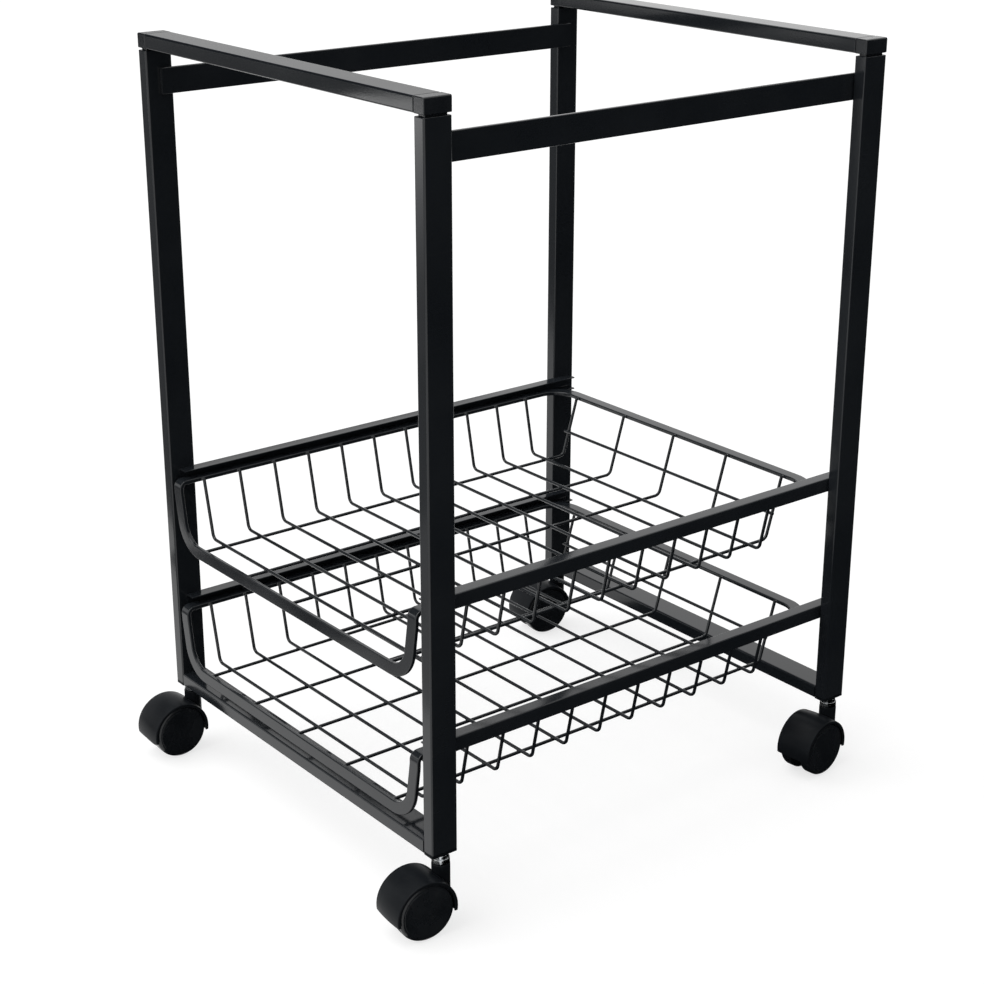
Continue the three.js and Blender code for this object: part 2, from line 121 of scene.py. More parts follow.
def piece(name, skin, nodes, finish):
    """Puts a skin into a mesh, closes its seams and poles, turns its faces outwards, and lets it ride on
    the body of the solids that it stands for. Normals weighted by area keep flat faces flat right up to
    their round edges."""
    points, faces = skin
    mesh = bpy.data.meshes.new(name)
    mesh.from_pydata(points.tolist(), [], faces)
    work = bmesh.new()
    work.from_mesh(mesh)
    bmesh.ops.remove_doubles(work, verts=work.verts, dist=merge_distance)
    bmesh.ops.recalc_face_normals(work, faces=work.faces)
    work.to_mesh(mesh)
    work.free()
    mesh.shade_smooth()
    mesh.set_sharp_from_angle(angle=np.radians(sharp_turn))
    mesh.materials.append(finish)
    made = bpy.data.objects.new(name, mesh)
    scene.collection.objects.link(made)
    even = made.modifiers.new("even_faces", "WEIGHTED_NORMAL")
    even.keep_sharp = True
    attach(made, body_of_node[nodes[0]])
    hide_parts(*nodes)
    return made


print("edges that turn by more than", sharp_turn, "degrees stay sharp")

# %% [markdown]
# ## Grain, patches and rub marks
# The steel is powder coated: a black that isn't quite even, with the faint orange peel of powder that has
# melted and run. The mouldings have a spark-eroded grain, and the zinc plate clouds a little. All of them
# are a grain and slow patches at different sizes, so one node group makes both from Object coordinates.
# A second group makes the fine rub marks that sliding and rolling leave, which paint and wheels share.

# %% Grain and patches
usual_noise = (0.32, 0.68)


def new_group(name, inputs, outputs):
    """An empty shader node group with named sockets."""
    group = bpy.data.node_groups.new(name, "ShaderNodeTree")
    for label, kind in inputs:
        group.interface.new_socket(name=label, in_out="INPUT", socket_type=kind)
    for label, kind in outputs:
        group.interface.new_socket(name=label, in_out="OUTPUT", socket_type=kind)
    return group, group.nodes.new("NodeGroupInput"), group.nodes.new("NodeGroupOutput")


def grain_group():
    """Grain and patches: a fine noise for height, and a slow noise whose usual range is spread out."""
    group, given, wanted = new_group(
        "grain_and_patches",
        [
            ("Place", "NodeSocketVector"),
            ("Grains per metre", "NodeSocketFloat"),
            ("Patches per metre", "NodeSocketFloat"),
        ],
        [("Height", "NodeSocketFloat"), ("Patches", "NodeSocketFloat")],
    )
    nodes, links = group.nodes, group.links
    fine = nodes.new("ShaderNodeTexNoise")
    fine.inputs["Detail"].default_value = 2.0
    slow = nodes.new("ShaderNodeTexNoise")
    slow.inputs["Detail"].default_value = 4.0
    spread = nodes.new("ShaderNodeMapRange")
    spread.inputs["From Min"].default_value = usual_noise[0]
    spread.inputs["From Max"].default_value = usual_noise[1]
    links.new(given.outputs["Place"], fine.inputs["Vector"])
    links.new(given.outputs["Grains per metre"], fine.inputs["Scale"])
    links.new(given.outputs["Place"], slow.inputs["Vector"])
    links.new(given.outputs["Patches per metre"], slow.inputs["Scale"])
    links.new(slow.outputs["Fac"], spread.inputs["Value"])
    links.new(fine.outputs["Fac"], wanted.inputs["Height"])
    links.new(spread.outputs["Result"], wanted.inputs["Patches"])
    return group


grain_and_patches = grain_group()
print("node group:", grain_and_patches.name)

# %% Rub marks
noise_peaks = (0.58, 0.74)
breaks_per_metre = 45.0


def rub_group():
    """Rub marks: a noise stretched along the way things slide, of which only the peaks are kept, times a
    slower noise that breaks them up, times the amount."""
    group, given, wanted = new_group(
        "rub_marks",
        [("Place", "NodeSocketVector"), ("Stretch", "NodeSocketVector"), ("Amount", "NodeSocketFloat")],
        [("Marks", "NodeSocketFloat")],
    )
    nodes, links = group.nodes, group.links
    stretch = nodes.new("ShaderNodeVectorMath")
    stretch.operation = "MULTIPLY"
    streaks = nodes.new("ShaderNodeTexNoise")
    streaks.inputs["Scale"].default_value = 1.0
    streaks.inputs["Detail"].default_value = 3.0
    peaks = nodes.new("ShaderNodeMapRange")
    peaks.inputs["From Min"].default_value = noise_peaks[0]
    peaks.inputs["From Max"].default_value = noise_peaks[1]
    breaks = nodes.new("ShaderNodeTexNoise")
    breaks.inputs["Scale"].default_value = breaks_per_metre
    broken = nodes.new("ShaderNodeMath")
    broken.operation = "MULTIPLY"
    amount = nodes.new("ShaderNodeMath")
    amount.operation = "MULTIPLY"
    links.new(given.outputs["Place"], stretch.inputs[0])
    links.new(given.outputs["Stretch"], stretch.inputs[1])
    links.new(stretch.outputs["Vector"], streaks.inputs["Vector"])
    links.new(streaks.outputs["Fac"], peaks.inputs["Value"])
    links.new(given.outputs["Place"], breaks.inputs["Vector"])
    links.new(peaks.outputs["Result"], broken.inputs[0])
    links.new(breaks.outputs["Fac"], broken.inputs[1])
    links.new(broken.outputs["Value"], amount.inputs[0])
    links.new(given.outputs["Amount"], amount.inputs[1])
    links.new(amount.outputs["Value"], wanted.inputs["Marks"])
    return group


rub_marks = rub_group()
print("node group:", rub_marks.name)

# %% [markdown]
# ## Finishes
# Paint, plastic and zinc differ in colour, gloss and grain, but each is one surface that changes slowly.
# A node tree for each would repeat itself, so one function builds a Principled shader round the groups,
# and each finish gives its own numbers. What is the same all over sits on the shader's own sockets.

# %% One shader for all finishes
rub_dulling = 0.25


def finish(name, dark, light, roughness, grains, depth, patches, specular, metallic=0.0, rub=None):
    """A Principled finish. Its colour and roughness drift between two values with the patches, and its
    grain raises the surface by depth, in metres. A rub is a colour, a stretch and an amount, and adds its
    marks times the dulling to the roughness."""
    material = bpy.data.materials.new(name)
    material.use_nodes = True
    nodes, links = material.node_tree.nodes, material.node_tree.links
    shader = nodes["Principled BSDF"]
    shader.inputs["Metallic"].default_value = metallic
    shader.inputs["Specular IOR Level"].default_value = specular
    place = nodes.new("ShaderNodeTexCoord").outputs["Object"]
    surface = nodes.new("ShaderNodeGroup")
    surface.node_tree = grain_and_patches
    surface.inputs["Grains per metre"].default_value = grains
    surface.inputs["Patches per metre"].default_value = patches
    links.new(place, surface.inputs["Place"])

    colour = nodes.new("ShaderNodeMix")
    colour.data_type = "RGBA"
    colour.inputs["A"].default_value = (*dark, 1)
    colour.inputs["B"].default_value = (*light, 1)
    links.new(surface.outputs["Patches"], colour.inputs["Factor"])
    gloss = nodes.new("ShaderNodeMapRange")
    gloss.inputs["To Min"].default_value = roughness[0]
    gloss.inputs["To Max"].default_value = roughness[1]
    links.new(surface.outputs["Patches"], gloss.inputs["Value"])
    shade, roughly = colour.outputs["Result"], gloss.outputs["Result"]

    if rub:
        rub_colour, rub_stretch, rub_amount = rub
        marks = nodes.new("ShaderNodeGroup")
        marks.node_tree = rub_marks
        marks.inputs["Stretch"].default_value = rub_stretch
        marks.inputs["Amount"].default_value = rub_amount
        links.new(place, marks.inputs["Place"])
        rubbed = nodes.new("ShaderNodeMix")
        rubbed.data_type = "RGBA"
        rubbed.inputs["B"].default_value = (*rub_colour, 1)
        links.new(marks.outputs["Marks"], rubbed.inputs["Factor"])
        links.new(shade, rubbed.inputs["A"])
        duller = nodes.new("ShaderNodeMath")
        duller.operation = "MULTIPLY_ADD"
        duller.inputs[1].default_value = rub_dulling
        links.new(marks.outputs["Marks"], duller.inputs[0])
        links.new(roughly, duller.inputs[2])
        shade, roughly = rubbed.outputs["Result"], duller.outputs["Value"]

    bump = nodes.new("ShaderNodeBump")
    bump.inputs["Distance"].default_value = depth
    links.new(surface.outputs["Height"], bump.inputs["Height"])
    links.new(shade, shader.inputs["Base Color"])
    links.new(roughly, shader.inputs["Roughness"])
    links.new(bump.outputs["Normal"], shader.inputs["Normal"])
    return material


# %% Paint, plastic and zinc
along_y = (900, 25, 900)
round_axle = (700, 160, 160)
paint_dark = (0.011, 0.0132, 0.016)
paint_light = (0.0158, 0.0184, 0.0216)
frame_paint = finish(
    "black_powder_coat",
    dark=paint_dark,
    light=paint_light,
    roughness=(0.09, 0.15),
    grains=900,
    depth=0.01 * millimetre,
    patches=14,
    specular=0.45,
    rub=((0.03, 0.031, 0.033), along_y, 0.18),
)
basket_paint = finish(
    "black_basket_coat",
    dark=paint_dark,
    light=paint_light,
    roughness=(0.1, 0.17),
    grains=1100,
    depth=0.012 * millimetre,
    patches=22,
    specular=0.45,
    rub=((0.035, 0.036, 0.038), along_y, 0.22),
)
corner_plastic = finish(
    "grained_corner_moulding",
    dark=(0.0105, 0.0125, 0.0152),
    light=(0.015, 0.0175, 0.0206),
    roughness=(0.17, 0.25),
    grains=2600,
    depth=0.03 * millimetre,
    patches=60,
    specular=0.48,
)
caster_plastic = finish(
    "satin_caster_moulding",
    dark=(0.0068, 0.008, 0.0098),
    light=(0.0107, 0.0125, 0.0147),
    roughness=(0.28, 0.4),
    grains=2400,
    depth=0.02 * millimetre,
    patches=45,
    specular=0.07,
)
wheel_plastic = finish(
    "rolled_wheel_moulding",
    dark=(0.009, 0.0108, 0.013),
    light=(0.014, 0.0163, 0.0192),
    roughness=(0.2, 0.32),
    grains=2000,
    depth=0.02 * millimetre,
    patches=50,
    specular=0.4,
    rub=((0.04, 0.039, 0.037), round_axle, 0.3),
)
zinc_plate = finish(
    "bright_zinc_plate",
    dark=(0.56, 0.59, 0.62),
    light=(0.72, 0.73, 0.72),
    roughness=(0.16, 0.3),
    grains=1800,
    depth=0.015 * millimetre,
    patches=120,
    specular=0.5,
    metallic=1.0,
)
print("finishes:", len(bpy.data.materials))

# %% [markdown]
# ## Posts and bars
# The end frames are welded from one rectangular tube. A tube's edges are round because it is rolled from
# strip, and that roundness catches the light along every edge. A box with a Bevel modifier would show it
# too, but it would be solid. This skin runs along the outside, turns in at the end and comes back along
# the bore, so the tube is hollow.

# %% Outlines with round corners
edge_steps = 5


def rounded_rectangle(width, height, radius, steps=6, inset=0.0):
    """Points round a rectangle that is drawn in by an inset: about each corner's own centre a quarter
    circle of the corner's radius less the inset. The corners share one radius, or each has its own."""
    radii = np.broadcast_to(radius, 4)[:, None]
    angle = np.arange(4)[:, None] * np.pi / 2 + np.linspace(0, np.pi / 2, steps)
    signs = np.array([[1, 1], [-1, 1], [-1, -1], [1, -1]])
    middle = signs * (np.array([width / 2, height / 2]) - radii)
    spoke = np.stack([np.cos(angle), np.sin(angle)], axis=-1)
    return (middle[:, None] + (radii[..., None] - inset) * spoke).reshape(-1, 2)


def soft_end(edge):
    """How an end is rounded: an outline is drawn in by the edge times one minus the sine of an angle, at a
    distance from the end of the edge times one minus its cosine."""
    angle = np.linspace(0, np.pi / 2, edge_steps)
    return edge * (1 - np.sin(angle)), edge * (1 - np.cos(angle))


print("points round an outline:", len(rounded_rectangle(2, 1, 0.1)))

# %% Tubes
tube_wall = 1.0 * millimetre
tube_edge = 1.3 * millimetre
cut_edge = 0.45 * millimetre
weld_edge = 0.1 * millimetre


def tube_skin(node, long_axis, end_edge):
    """A rounded rectangle carried between two soft ends, and back through the bore, so that the wall has a
    thickness."""
    low, high = box_of(node)
    cross = [k for k in range(3) if k != long_axis]
    size = (high - low)[cross]
    middle = (low + high)[cross] / 2
    drawn_in, along = soft_end(end_edge)
    outside = [rounded_rectangle(*size, tube_edge, inset=inset) for inset in drawn_in]
    inside = rounded_rectangle(*size, tube_edge, inset=tube_wall)
    rings = np.array([inside, *outside, *outside[::-1], inside]) + middle
    start, stop = low[long_axis], high[long_axis]
    stations = np.concatenate([[start], start + along, stop - along[::-1], [stop]])
    points = np.zeros((len(rings), len(inside), 3))
    points[..., cross] = rings
    points[..., long_axis] = stations[:, None]
    return grid_skin(points, rows_closed=True)


tubes = [(f"post_{corner}", 2, cut_edge) for corner in corners]
for end in ends:
    tubes += [(f"top_bar_{end}", 0, cut_edge), (f"bottom_bar_{end}", 0, weld_edge)]
for node, long_axis, end_edge in tubes:
    piece(f"tube_{node}", tube_skin(node, long_axis, end_edge), [node], frame_paint)
print("tubes:", len(tubes))

# %% [markdown]
# ## Corner pieces
# A moulded block closes each upper corner. It lies flush with the tubes, its outer top edge is rounded
# off, and a narrower waist under it leaves a shadow groove above the post. Cutting it from a cube with
# booleans would leave edges that are hard to soften. So the block is an outline carried front to back and
# drawn in a little at both ends, and the waist and the plugs in the tubes are plain limbs set into it.

# %% Bent and straight lines


def bent_line(turning_points, radii, first_axis, steps):
    """Stations along straight runs joined by round bends.

    A bend starts its radius times the tangent of half its turn before the turning point, and its stations
    lie on a circle. The section's first axis turns with each bend and never twists. Gives the places, the
    directions and the first axes, one row for each station."""
    turning_points = np.array(turning_points, float)
    runs = np.diff(turning_points, axis=0)
    runs /= np.linalg.norm(runs, axis=1)[:, None]
    axis = np.array(first_axis, float)
    places = [turning_points[:1]]
    directions = [runs[:1]]
    axes = [axis[None]]
    for point, before, after, radius in zip(turning_points[1:-1], runs[:-1], runs[1:], radii):
        turn = np.arccos(np.clip(before @ after, -1, 1))
        inward = (after - before * np.cos(turn)) / np.sin(turn)
        angle = np.linspace(0, turn, steps)[:, None]
        start = point - before * radius * np.tan(turn / 2)
        places.append(start + radius * (before * np.sin(angle) + inward * (1 - np.cos(angle))))
        directions.append(before * np.cos(angle) + inward * np.sin(angle))
        share = axis @ inward
        axes.append(axis - share * inward + share * (inward * np.cos(angle) - before * np.sin(angle)))
        axis = axes[-1][-1]
    places.append(turning_points[-1:])
    directions.append(runs[-1:])
    axes.append(axis[None])
    return np.vstack(places), np.vstack(directions), np.vstack(axes)


def carried(section, line, closed=False):
    """A section carried along a line: each station's place, plus the section's two coordinates along the
    station's first axis and along the direction square to that axis and to the line."""
    places, directions, axes = line
    second = np.cross(directions, axes)
    points = places[:, None] + section[:, :1] * axes[:, None] + section[:, 1:] * second[:, None]
    return grid_skin(points, rows_closed=closed)


def straight(section, start, stop, first_axis):
    """A section carried along a line without bends."""
    return carried(section, bent_line([start, stop], [], first_axis, 0))


def joined(skins):
    """Several skins as one: each skin's faces count on from the points of those before it."""
    starts = np.cumsum([0] + [len(points) for points, _ in skins])
    points = np.vstack([points for points, _ in skins])
    faces = [[k + int(start) for k in face] for (_, own), start in zip(skins, starts) for face in own]
    return points, faces


quarter_bend = bent_line([(0, 0, 0), (1, 0, 0), (1, 1, 0)], [0.5], (0, 0, 1), 9)
print("stations of a quarter bend:", len(quarter_bend[0]))

# %% Corner pieces
block_edge = 0.6 * millimetre
block_round = 1.2 * millimetre
block_steps = 7
groove_depth = 1.9 * millimetre
plug_inset = 1.3 * millimetre
plug_edge = 0.3 * millimetre


def corner_skin(corner):
    """Block, waist and plugs of one corner piece. The block's outline has a larger radius at the outer
    top, and each ring of it is drawn in as a soft end."""
    low, high = box_of(f"corner_{corner}")
    post_low, post_high = box_of(f"post_{corner}")
    bar_low, bar_high = box_of(f"top_bar_{corner.split('_')[0]}")
    outward = np.sign(post_low[0] + post_high[0])
    middle = (post_low + post_high) / 2
    width, depth = (post_high - post_low)[:2]
    height = bar_high[2] - bar_low[2]
    bar_level = high[2] - height / 2

    drawn_in, along = soft_end(block_edge)
    insets = np.concatenate([drawn_in, drawn_in[::-1]])
    depths = np.concatenate([low[1] + along, high[1] - along[::-1]])
    radii = [block_round, block_edge, block_edge, block_edge]
    outlines = np.array([rounded_rectangle(width, height, radii, block_steps, inset) for inset in insets])
    points = np.zeros((*outlines.shape[:2], 3))
    points[..., 0] = middle[0] + outward * outlines[..., 0]
    points[..., 1] = depths[:, None]
    points[..., 2] = bar_level + outlines[..., 1]

    waist = rounded_rectangle(width - 2 * groove_depth, depth - 2 * groove_depth, block_edge)
    plug = rounded_rectangle(width - 2 * plug_inset, depth - 2 * plug_inset, plug_edge)
    foot = [middle[0], middle[1], low[2]]
    shoulder = [middle[0], middle[1], post_high[2]]
    hub = [middle[0], middle[1], bar_level]
    tip = [low[0] if outward > 0 else high[0], middle[1], bar_level]
    return joined(
        [
            grid_skin(points),
            straight(waist, foot, hub, (1, 0, 0)),
            straight(plug, foot, shoulder, (1, 0, 0)),
            straight(plug, hub, tip, (0, 0, 1)),
        ]
    )


for corner in corners:
    piece(f"moulded_corner_{corner}", corner_skin(corner), [f"corner_{corner}"], corner_plastic)
print("corner pieces:", len(corners))

# %% [markdown]
# ## Rails
# The folders hang on two flat bars that stand on edge. The baskets slide in channels folded from thin
# strip and open towards the inside. A thin box with a Solidify modifier would have square folds, so a
# channel's outline is its strip's middle line with round folds, set off by half the strip's thickness to
# each side, with a round lip at both ends.

# %% Rails
strip = 1.0 * millimetre
fold_radius = 0.8 * millimetre
fold_steps = 6
hanging_edge = 0.75 * millimetre


def strip_outline(line, thickness):
    """An outline round a strip: its middle line set off to one side, a half circle, and back on the
    other side."""
    places, directions, axes = line
    half = thickness / 2
    angle = np.linspace(np.pi / 2, -np.pi / 2, edge_steps)[1:-1, None]
    far = places[-1] + half * (np.sin(angle) * axes[-1] + np.cos(angle) * directions[-1])
    near = places[0] + half * (np.sin(-angle) * axes[0] - np.cos(angle) * directions[0])
    return np.vstack([places + half * axes, far, (places - half * axes)[::-1], near])


def channel_skin(node, outward):
    """A channel's outline, drawn across the cart, carried front to back."""
    low, high = box_of(node)
    inner, outer = (low[0], high[0] - strip / 2) if outward > 0 else (high[0], low[0] + strip / 2)
    lip = inner + outward * strip / 2
    upper, lower = high[2] - strip / 2, low[2] + strip / 2
    path = [(lip, 0, upper), (outer, 0, upper), (outer, 0, lower), (lip, 0, lower)]
    line = bent_line(path, [fold_radius, fold_radius], (0, 0, 1), fold_steps)
    outline = strip_outline(line, strip)
    points = np.stack([outline, outline])
    points[0, :, 1] = low[1]
    points[1, :, 1] = high[1]
    return grid_skin(points)


def flat_bar_skin(node):
    """A flat bar on edge with softened edges, carried front to back."""
    low, high = box_of(node)
    width, _, height = high - low
    section = rounded_rectangle(width, height, hanging_edge, edge_steps)
    x, _, z = (low + high) / 2
    return straight(section, (x, low[1], z), (x, high[1], z), (1, 0, 0))


for side, outward in zip(sides, hands):
    node = f"hanging_rail_{side}"
    piece(f"flat_{node}", flat_bar_skin(node), [node], frame_paint)
    for level in levels:
        node = f"{level}_rail_{side}"
        piece(f"channel_{node}", channel_skin(node, outward), [node], frame_paint)
print("hanging rails:", len(sides), "channels:", len(sides) * len(levels))

# %% [markdown]
# ## Basket rims
# Each rim is one flat bar bent into a loop. It lies flat along the sides and the rear, folds down at the
# front, leans in a little, and runs across as a wide pull that shows its broad face. A curve with a flat
# bevel would twist at the folds. Here the section's axes turn with every bend, so one closed line carries
# the bar all the way round without a twist or a seam.

# %% Rims
rim_width = 9.0 * millimetre
rim_thickness = 3.0 * millimetre
rim_edge = 0.7 * millimetre
rim_fold = 3.0 * millimetre
rear_round = 26.0 * millimetre
pull_round = 26.0 * millimetre
pull_lean = 6.4 * millimetre
kink_drop = 7.5 * millimetre
kink_round = 30.0 * millimetre
rim_bend_steps = 12


def rim_skin(node):
    """A flat bar carried round the rim, from the middle of the rear along one side, down, across and back.
    An edgewise bend's radius is that of its outside less half the width."""
    low, high = box_of(node)
    side = high[0] - rim_width / 2
    rear = high[1] - rim_width / 2
    level = high[2] - rim_thickness / 2
    front = low[1] + rim_thickness / 2
    pull = low[2] + rim_width / 2
    path = [
        (0, rear, level),
        (side, rear, level),
        (side, front, level),
        (side, front, level - kink_drop),
        (side - pull_lean, front, pull),
        (pull_lean - side, front, pull),
        (-side, front, level - kink_drop),
        (-side, front, level),
        (-side, rear, level),
        (0, rear, level),
    ]
    fold = rim_fold + rim_thickness / 2
    radii = [rear_round - rim_width / 2, fold, kink_round, pull_round - rim_width / 2]
    radii += radii[::-1]
    places, directions, axes = bent_line(path, radii, (0, 1, 0), rim_bend_steps)
    section = rounded_rectangle(rim_width, rim_thickness, rim_edge, edge_steps)
    return carried(section, (places[:-1], directions[:-1], axes[:-1]), closed=True)


for level in levels:
    node = f"{level}_basket_rim"
    made = piece(f"bar_{node}", rim_skin(node), [node], basket_paint)
    print(made.name, len(made.data.polygons), "faces")

# %% [markdown]
# ## Basket wires
# The mats are the hardest part of the cart: cross wires bent up into the side walls lie on long wires bent
# up into the rear wall, and one more wire crosses that wall. Bevelled curves would make them too, but each
# wire as a round section on a bent line gives an even mesh. The wires sink into each other where they are
# welded, their ends lean against the inner edge of the rim, and a small bead of weld and paint fills each
# joint.

# %% Weld beads


def bead(place, half_sizes):
    """A small ellipsoid: sines and cosines of two angles, times its three half sizes."""
    across = np.linspace(0, np.pi, 6)[:, None]
    around = np.linspace(0, 2 * np.pi, 8, endpoint=False)[None, :]
    ball = np.stack(
        [np.sin(across) * np.cos(around), np.sin(across) * np.sin(around), np.cos(across) + 0 * around],
        axis=-1,
    )
    return grid_skin(np.array(place) + ball * half_sizes, capped=False)


side_bead = np.array([1.0, 1.8, 1.2]) * millimetre
rear_bead = np.array([1.8, 1.0, 1.2]) * millimetre
front_bead = np.array([1.9, 1.1, 1.6]) * millimetre
crossing_bead = np.array([1.7, 1.7, 0.9]) * millimetre
print("faces of a bead:", len(bead((0, 0, 0), side_bead)[1]))

# %% Wires
wire_diameter = 2.4 * millimetre
wire_steps = 12
wire_bend = 5.0 * millimetre
wire_bend_steps = 8
wire_top_drop = 0.8 * millimetre
weld_sink = 0.5 * millimetre
bead_reach = 0.4 * wire_diameter
side_lean = 9.6 * millimetre
rear_lean = 13.6 * millimetre
cross_count = 11
cross_pitch = 30.0 * millimetre
first_cross = 16.2 * millimetre
long_count = 5
long_inset = 14.0 * millimetre
rear_wire_rise = 19.0 * millimetre
rear_wire_overhang = 2.6 * millimetre


def circle(radius, steps):
    """Points round a circle about the origin: its radius times the cosine and sine of an angle."""
    angle = np.linspace(0, 2 * np.pi, steps, endpoint=False)
    return radius * np.stack([np.cos(angle), np.sin(angle)], axis=-1)


def wires_skin(level):
    """All the wires of one mat, and the beads where they meet each other and the rim. The solids' wires
    have six sides and lie on a flat one, which is the cosine of 30 degrees of a radius below the middle."""
    low, _ = box_of(f"{level}_basket_wires")
    _, rim_high = box_of(f"{level}_basket_rim")
    radius = wire_diameter / 2
    section = circle(radius, wire_steps)
    sink = wire_diameter - weld_sink
    long_level = low[2] + radius * np.cos(np.pi / 6)
    cross_level = long_level + sink
    top = rim_high[2] - wire_top_drop
    rim_level = rim_high[2] - rim_thickness / 2
    side_top = rim_high[0] - rim_width - radius + weld_sink / 2
    side_foot = side_top - side_lean
    rear_top = rim_high[1] - rim_width - radius + weld_sink / 2
    rear_foot = rear_top - rear_lean
    front = low[1] - weld_sink
    spread = side_foot - long_inset
    rows = low[1] + first_cross + cross_pitch * np.arange(cross_count)
    columns = np.linspace(-spread, spread, long_count)
    skins = []

    for y in rows:
        path = [(-side_top, y, top), (-side_foot, y, cross_level)]
        path += [(side_foot, y, cross_level), (side_top, y, top)]
        skins.append(carried(section, bent_line(path, [wire_bend, wire_bend], (0, 1, 0), wire_bend_steps)))
        skins += [bead((hand * (side_top + bead_reach), y, rim_level), side_bead) for hand in hands]

    for x in columns:
        path = [(x, front, long_level), (x, rear_foot, long_level), (x, rear_top, top)]
        skins.append(carried(section, bent_line(path, [wire_bend], (1, 0, 0), wire_bend_steps)))
        skins.append(bead((x, rear_top + bead_reach, rim_level), rear_bead))
        skins.append(bead((x, front, long_level), front_bead))
        skins += [bead((x, y, (long_level + cross_level) / 2), crossing_bead) for y in rows]

    slope = np.arctan2(top - long_level, rear_lean)
    y = rear_foot + rear_lean * rear_wire_rise / (top - long_level) - sink * np.sin(slope)
    z = long_level + rear_wire_rise + sink * np.cos(slope)
    reach = spread + rear_wire_overhang
    skins.append(straight(section, (-reach, y, z), (reach, y, z), (0, 1, 0)))
    return joined(skins)


for level in levels:
    made = piece(f"welded_{level}_wires", wires_skin(level), [f"{level}_basket_wires"], basket_paint)
    print(made.name, len(made.data.polygons), "faces")

# %% [markdown]
# ## Caster hoods
# A hood moulded in one piece covers both wheels: a crowned band over their tops, a web between them, and a
# neck that takes the stem. A cylinder cut flat by a boolean would leave a rough lower edge. So band and
# web share a T-shaped section, and, turned about the axle, each ring of that section stops where it meets
# the level of the hood's lip. Each caster stands at its own angle, so its directions come from its joints.

# %% Caster directions


def caster_frame(corner):
    """A caster's own directions and centres, read from its joints: across along the axle, forward from the
    stem to the axle, the axle's middle and the stem's foot."""
    left, right = (joint_named[f"roll_{side}_{corner}"] for side in sides)
    across = np.array(right["axis"], float)
    across /= np.linalg.norm(across)
    axle = (np.array(left["pos_m"]) + np.array(right["pos_m"])) / 2
    stem = np.array(joint_named[f"swivel_{corner}"]["pos_m"], float)
    forward = np.cross(across, [0, 0, -1])
    forward *= np.sign(forward @ (axle - stem))
    return across, forward, axle, stem


casters = {corner: caster_frame(corner) for corner in corners}
for corner, (_, forward, axle, stem) in casters.items():
    print(corner, "trail", round(float((axle - stem) @ forward) / millimetre, 2), "mm")

# %% Turned outlines


def arc(centre, radius, start, stop, steps=edge_steps):
    """Points of radius and height on an arc, its angles in degrees from the direction of growing radius."""
    angle = np.radians(np.linspace(start, stop, steps))
    return np.array(centre) + radius * np.stack([np.cos(angle), np.sin(angle)], axis=-1)


def turned(profile, centre, axis, start, steps):
    """A profile of radius and height turned about an axis: centre plus height along the axis, plus radius
    times the cosine and sine of the turn along two directions square to it."""
    angle = np.linspace(0, 2 * np.pi, steps, endpoint=False)[None, :, None]
    spoke = np.cos(angle) * start + np.sin(angle) * np.cross(axis, start)
    points = np.array(centre) + profile[:, None, 1:] * axis + profile[:, None, :1] * spoke
    return grid_skin(points, capped=False)


upright = np.array([0.0, 0.0, 1.0])
print("points of a small round:", len(arc((0, 0), 1, 0, 90)))

# %% Hoods
well_radius = 20.8 * millimetre
bead_radius = 20.0 * millimetre
bead_width = 2.2 * millimetre
hood_radius = 23.1 * millimetre
hood_crown = 0.8 * millimetre
hood_half = 14.5 * millimetre
hood_edge = 0.7 * millimetre
hood_lip = 16.4 * millimetre
hood_steps = 49
crown_steps = 25
web_half = 4.0 * millimetre
web_middle = 14.0 * millimetre
web_foot = 6.7 * millimetre


def hood_section():
    """The T-shaped section as points across and out from the axle: a crown that falls off with the square
    of the distance from the middle, round-edged side beads, the two wells' roofs, and the web between."""
    across = np.linspace(-1, 1, crown_steps) * (hood_half - hood_edge)
    out = hood_radius - hood_crown * (across / hood_half) ** 2
    crown = np.stack([across, out], axis=-1)
    bead_outside = arc((hood_half - hood_edge, out[-1] - hood_edge), hood_edge, 80, 0)
    bead_inside = arc((hood_half - hood_edge, bead_radius + hood_edge), hood_edge, 0, -90)
    roof = [(hood_half - bead_width, well_radius), (web_half + hood_edge, well_radius)]
    web = [(web_half, well_radius - hood_edge), (web_half, web_middle), (web_half, web_foot)]
    half = np.vstack([bead_outside, bead_inside, roof, web])
    return np.vstack([crown, half, (half * [-1, 1])[::-1]])


def hood_skin(corner):
    """The section turned over the wheels. A point at some radius stops where the sine of its angle brings
    it down to the lip's level."""
    across, forward, axle, _ = casters[corner]
    section = hood_section()
    beyond = np.arcsin(np.clip((axle[2] - hood_lip) / section[:, 1], -1, 1))
    angle = -beyond + np.linspace(0, 1, hood_steps)[:, None] * (np.pi + 2 * beyond)
    ahead = section[:, 1] * np.cos(angle)
    up = section[:, 1] * np.sin(angle)
    points = axle + section[:, 0, None] * across + ahead[..., None] * forward + up[..., None] * upright
    return grid_skin(points)


print("points of a hood's section:", len(hood_section()))

# %% Necks
neck_radius = 6.2 * millimetre
neck_edge = 0.8 * millimetre
neck_rings = 7
stem_steps = 48


